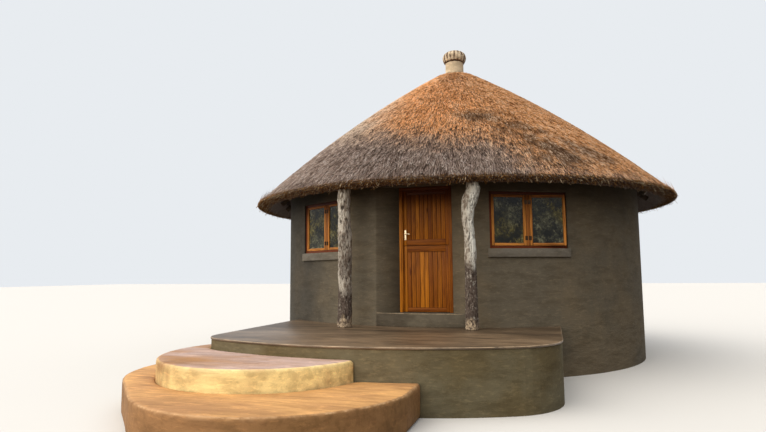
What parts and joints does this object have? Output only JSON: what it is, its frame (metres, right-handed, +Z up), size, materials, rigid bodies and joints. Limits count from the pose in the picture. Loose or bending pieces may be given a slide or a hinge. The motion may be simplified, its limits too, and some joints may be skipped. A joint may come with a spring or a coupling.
{
  "type": "thatched rondavel hut",
  "caption": "Round plastered hut with a thick thatched cone roof, split entrance door, casement windows, log posts, terrace and crescent steps.",
  "frame": {"origin": "on the hut's vertical axis at the lowest ground level, in the underside of the plinth", "axes": "+Z up along the hut's axis; -Y out through the doorway; +X to the right of someone facing the door"},
  "size_m": [8.9098, 12.6247, 6.8457],
  "materials": {
    "rubble_masonry": "rough plastered masonry",
    "floor_screed": "smooth cement floor",
    "step_plaster": "rough cement render",
    "terrace_plaster": "rough plaster",
    "terrace_screed": "smooth cement screed",
    "wall_plaster": "matt grey-brown plaster",
    "sill_plaster": "matt plaster band",
    "roof_pole": "raw round poles",
    "thatch": "weathered grass thatch",
    "finial_plaster": "smooth cream plaster",
    "finial_crown": "ribbed earthenware",
    "weathered_log": "silver-grey weathered log",
    "varnished_wood": "orange-brown varnish",
    "door_boards": "orange-brown varnished boards",
    "hinge_steel": "dull steel",
    "handle_brass": "worn brass",
    "window_glass": "clear glass"
  },
  "bodies": {
    "hut": {"plinth": "rubble_masonry", "floor_slab": "floor_screed", "terrace": "terrace_plaster", "terrace_screed": "terrace_screed", "upper_step": "step_plaster", "lower_step": "step_plaster", "threshold": "wall_plaster", "wall_left_of_door": "wall_plaster", "wall_right_of_door": "wall_plaster", "wall_under_left_window": "wall_plaster", "wall_over_left_window": "wall_plaster", "wall_under_right_window": "wall_plaster", "wall_over_right_window": "wall_plaster", "back_wall_1": "wall_plaster", "back_wall_2": "wall_plaster", "back_wall_3": "wall_plaster", "back_wall_4": "wall_plaster", "back_wall_5": "wall_plaster", "back_wall_6": "wall_plaster", "ring_beam": "wall_plaster", "rafters": "roof_pole", "battens": "roof_pole", "apex_block": "roof_pole", "thatch": "thatch", "finial_neck": "finial_plaster", "finial_crown": "finial_crown", "left_post": "weathered_log", "right_post": "weathered_log", "door_frame": "varnished_wood", "frame_hinges": "hinge_steel", "left_window_frame": "varnished_wood", "left_window_casements": "varnished_wood", "left_window_sill": "sill_plaster", "right_window_frame": "varnished_wood", "right_window_casements": "varnished_wood", "right_window_sill": "sill_plaster", "window_hinges": "hinge_steel", "window_glass": "window_glass"},
    "upper_door_leaf": {"upper_leaf": "door_boards", "upper_leaf_hinges": "hinge_steel", "lever_handle": "handle_brass"},
    "lower_door_leaf": {"lower_leaf": "door_boards", "lower_leaf_hinges": "hinge_steel"}
  },
  "joints": [
    {"name": "upper_leaf_hinge", "type": "hinge", "parent": "hut", "child": "upper_door_leaf", "pos_m": [0.4025, -3.392, 2.62], "axis": [0, 0, -1], "range_deg": [0, 95]},
    {"name": "lower_leaf_hinge", "type": "hinge", "parent": "hut", "child": "lower_door_leaf", "pos_m": [0.4025, -3.392, 1.57], "axis": [0, 0, -1], "range_deg": [0, 95]}
  ]
}
